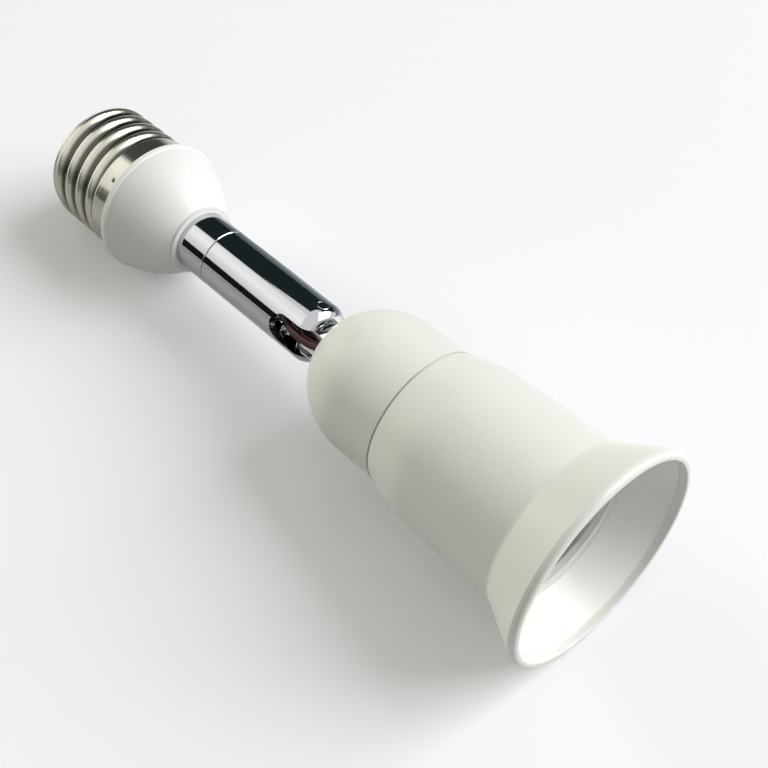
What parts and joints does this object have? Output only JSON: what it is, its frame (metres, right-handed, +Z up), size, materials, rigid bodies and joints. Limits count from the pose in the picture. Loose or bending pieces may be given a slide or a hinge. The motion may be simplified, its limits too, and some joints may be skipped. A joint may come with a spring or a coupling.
{
  "type": "lamp socket adapter",
  "caption": "Screw-in lamp socket adapter: threaded cap on a tapered base, a swivelling stem with a tilting elbow, and a flared lamp socket.",
  "frame": {"origin": "centre of the mouth rim, on the surface that the adapter stands on", "axes": "+Z up the common axis from the mouth to the cap's contact; +X along the elbow's cross pin; the fork's slot opens towards -Y and +Y"},
  "size_m": [0.044, 0.044, 0.1472],
  "materials": {
    "socket_white": "satin",
    "base_white": "gloss",
    "stem_chrome": "polished",
    "cap_nickel": "polished",
    "shell_nickel": "satin",
    "steel": "satin",
    "brass": "satin",
    "cap_glass": "gloss",
    "block_ceramic": "matte",
    "friction_nylon": "matte",
    "wire_brown": "satin",
    "wire_blue": "satin"
  },
  "bodies": {
    "base": {"base_shell": "base_white", "cap_shell": "cap_nickel", "cap_insulator": "cap_glass", "tip_contact": "cap_nickel", "base_stub": "stem_chrome", "stub_washer": "steel", "stub_lock_nut": "steel", "swivel_washer": "steel"},
    "stem": {"stem_tube": "stem_chrome", "stop_pin": "steel", "swivel_clip": "steel", "swivel_spring": "steel", "pivot_pin": "steel", "friction_ring_left": "friction_nylon", "friction_ring_right": "friction_nylon", "live_wire": "wire_brown", "neutral_wire": "wire_blue"},
    "head": {"socket_body": "socket_white", "rear_cover": "socket_white", "knuckle": "stem_chrome", "neck_washer": "steel", "neck_lock_nut": "steel", "screw_shell": "shell_nickel", "contact_block": "block_ceramic", "centre_contact": "brass", "live_plate": "brass", "neutral_plate": "brass", "live_rivet": "brass", "neutral_rivet": "brass", "live_terminal_screw": "steel", "neutral_terminal_screw": "steel", "block_screw_left": "steel", "block_screw_right": "steel"}
  },
  "joints": [
    {"name": "stem_swivel", "type": "hinge", "parent": "base", "child": "stem", "pos_m": [0, 0, 0.0995], "axis": [0, 0, 1], "range_deg": [-165, 165]},
    {"name": "elbow_tilt", "type": "hinge", "parent": "stem", "child": "head", "pos_m": [0, 0, 0.0718], "axis": [1, 0, 0], "range_deg": [-90, 90], "deforming": ["live_wire", "neutral_wire"]}
  ]
}
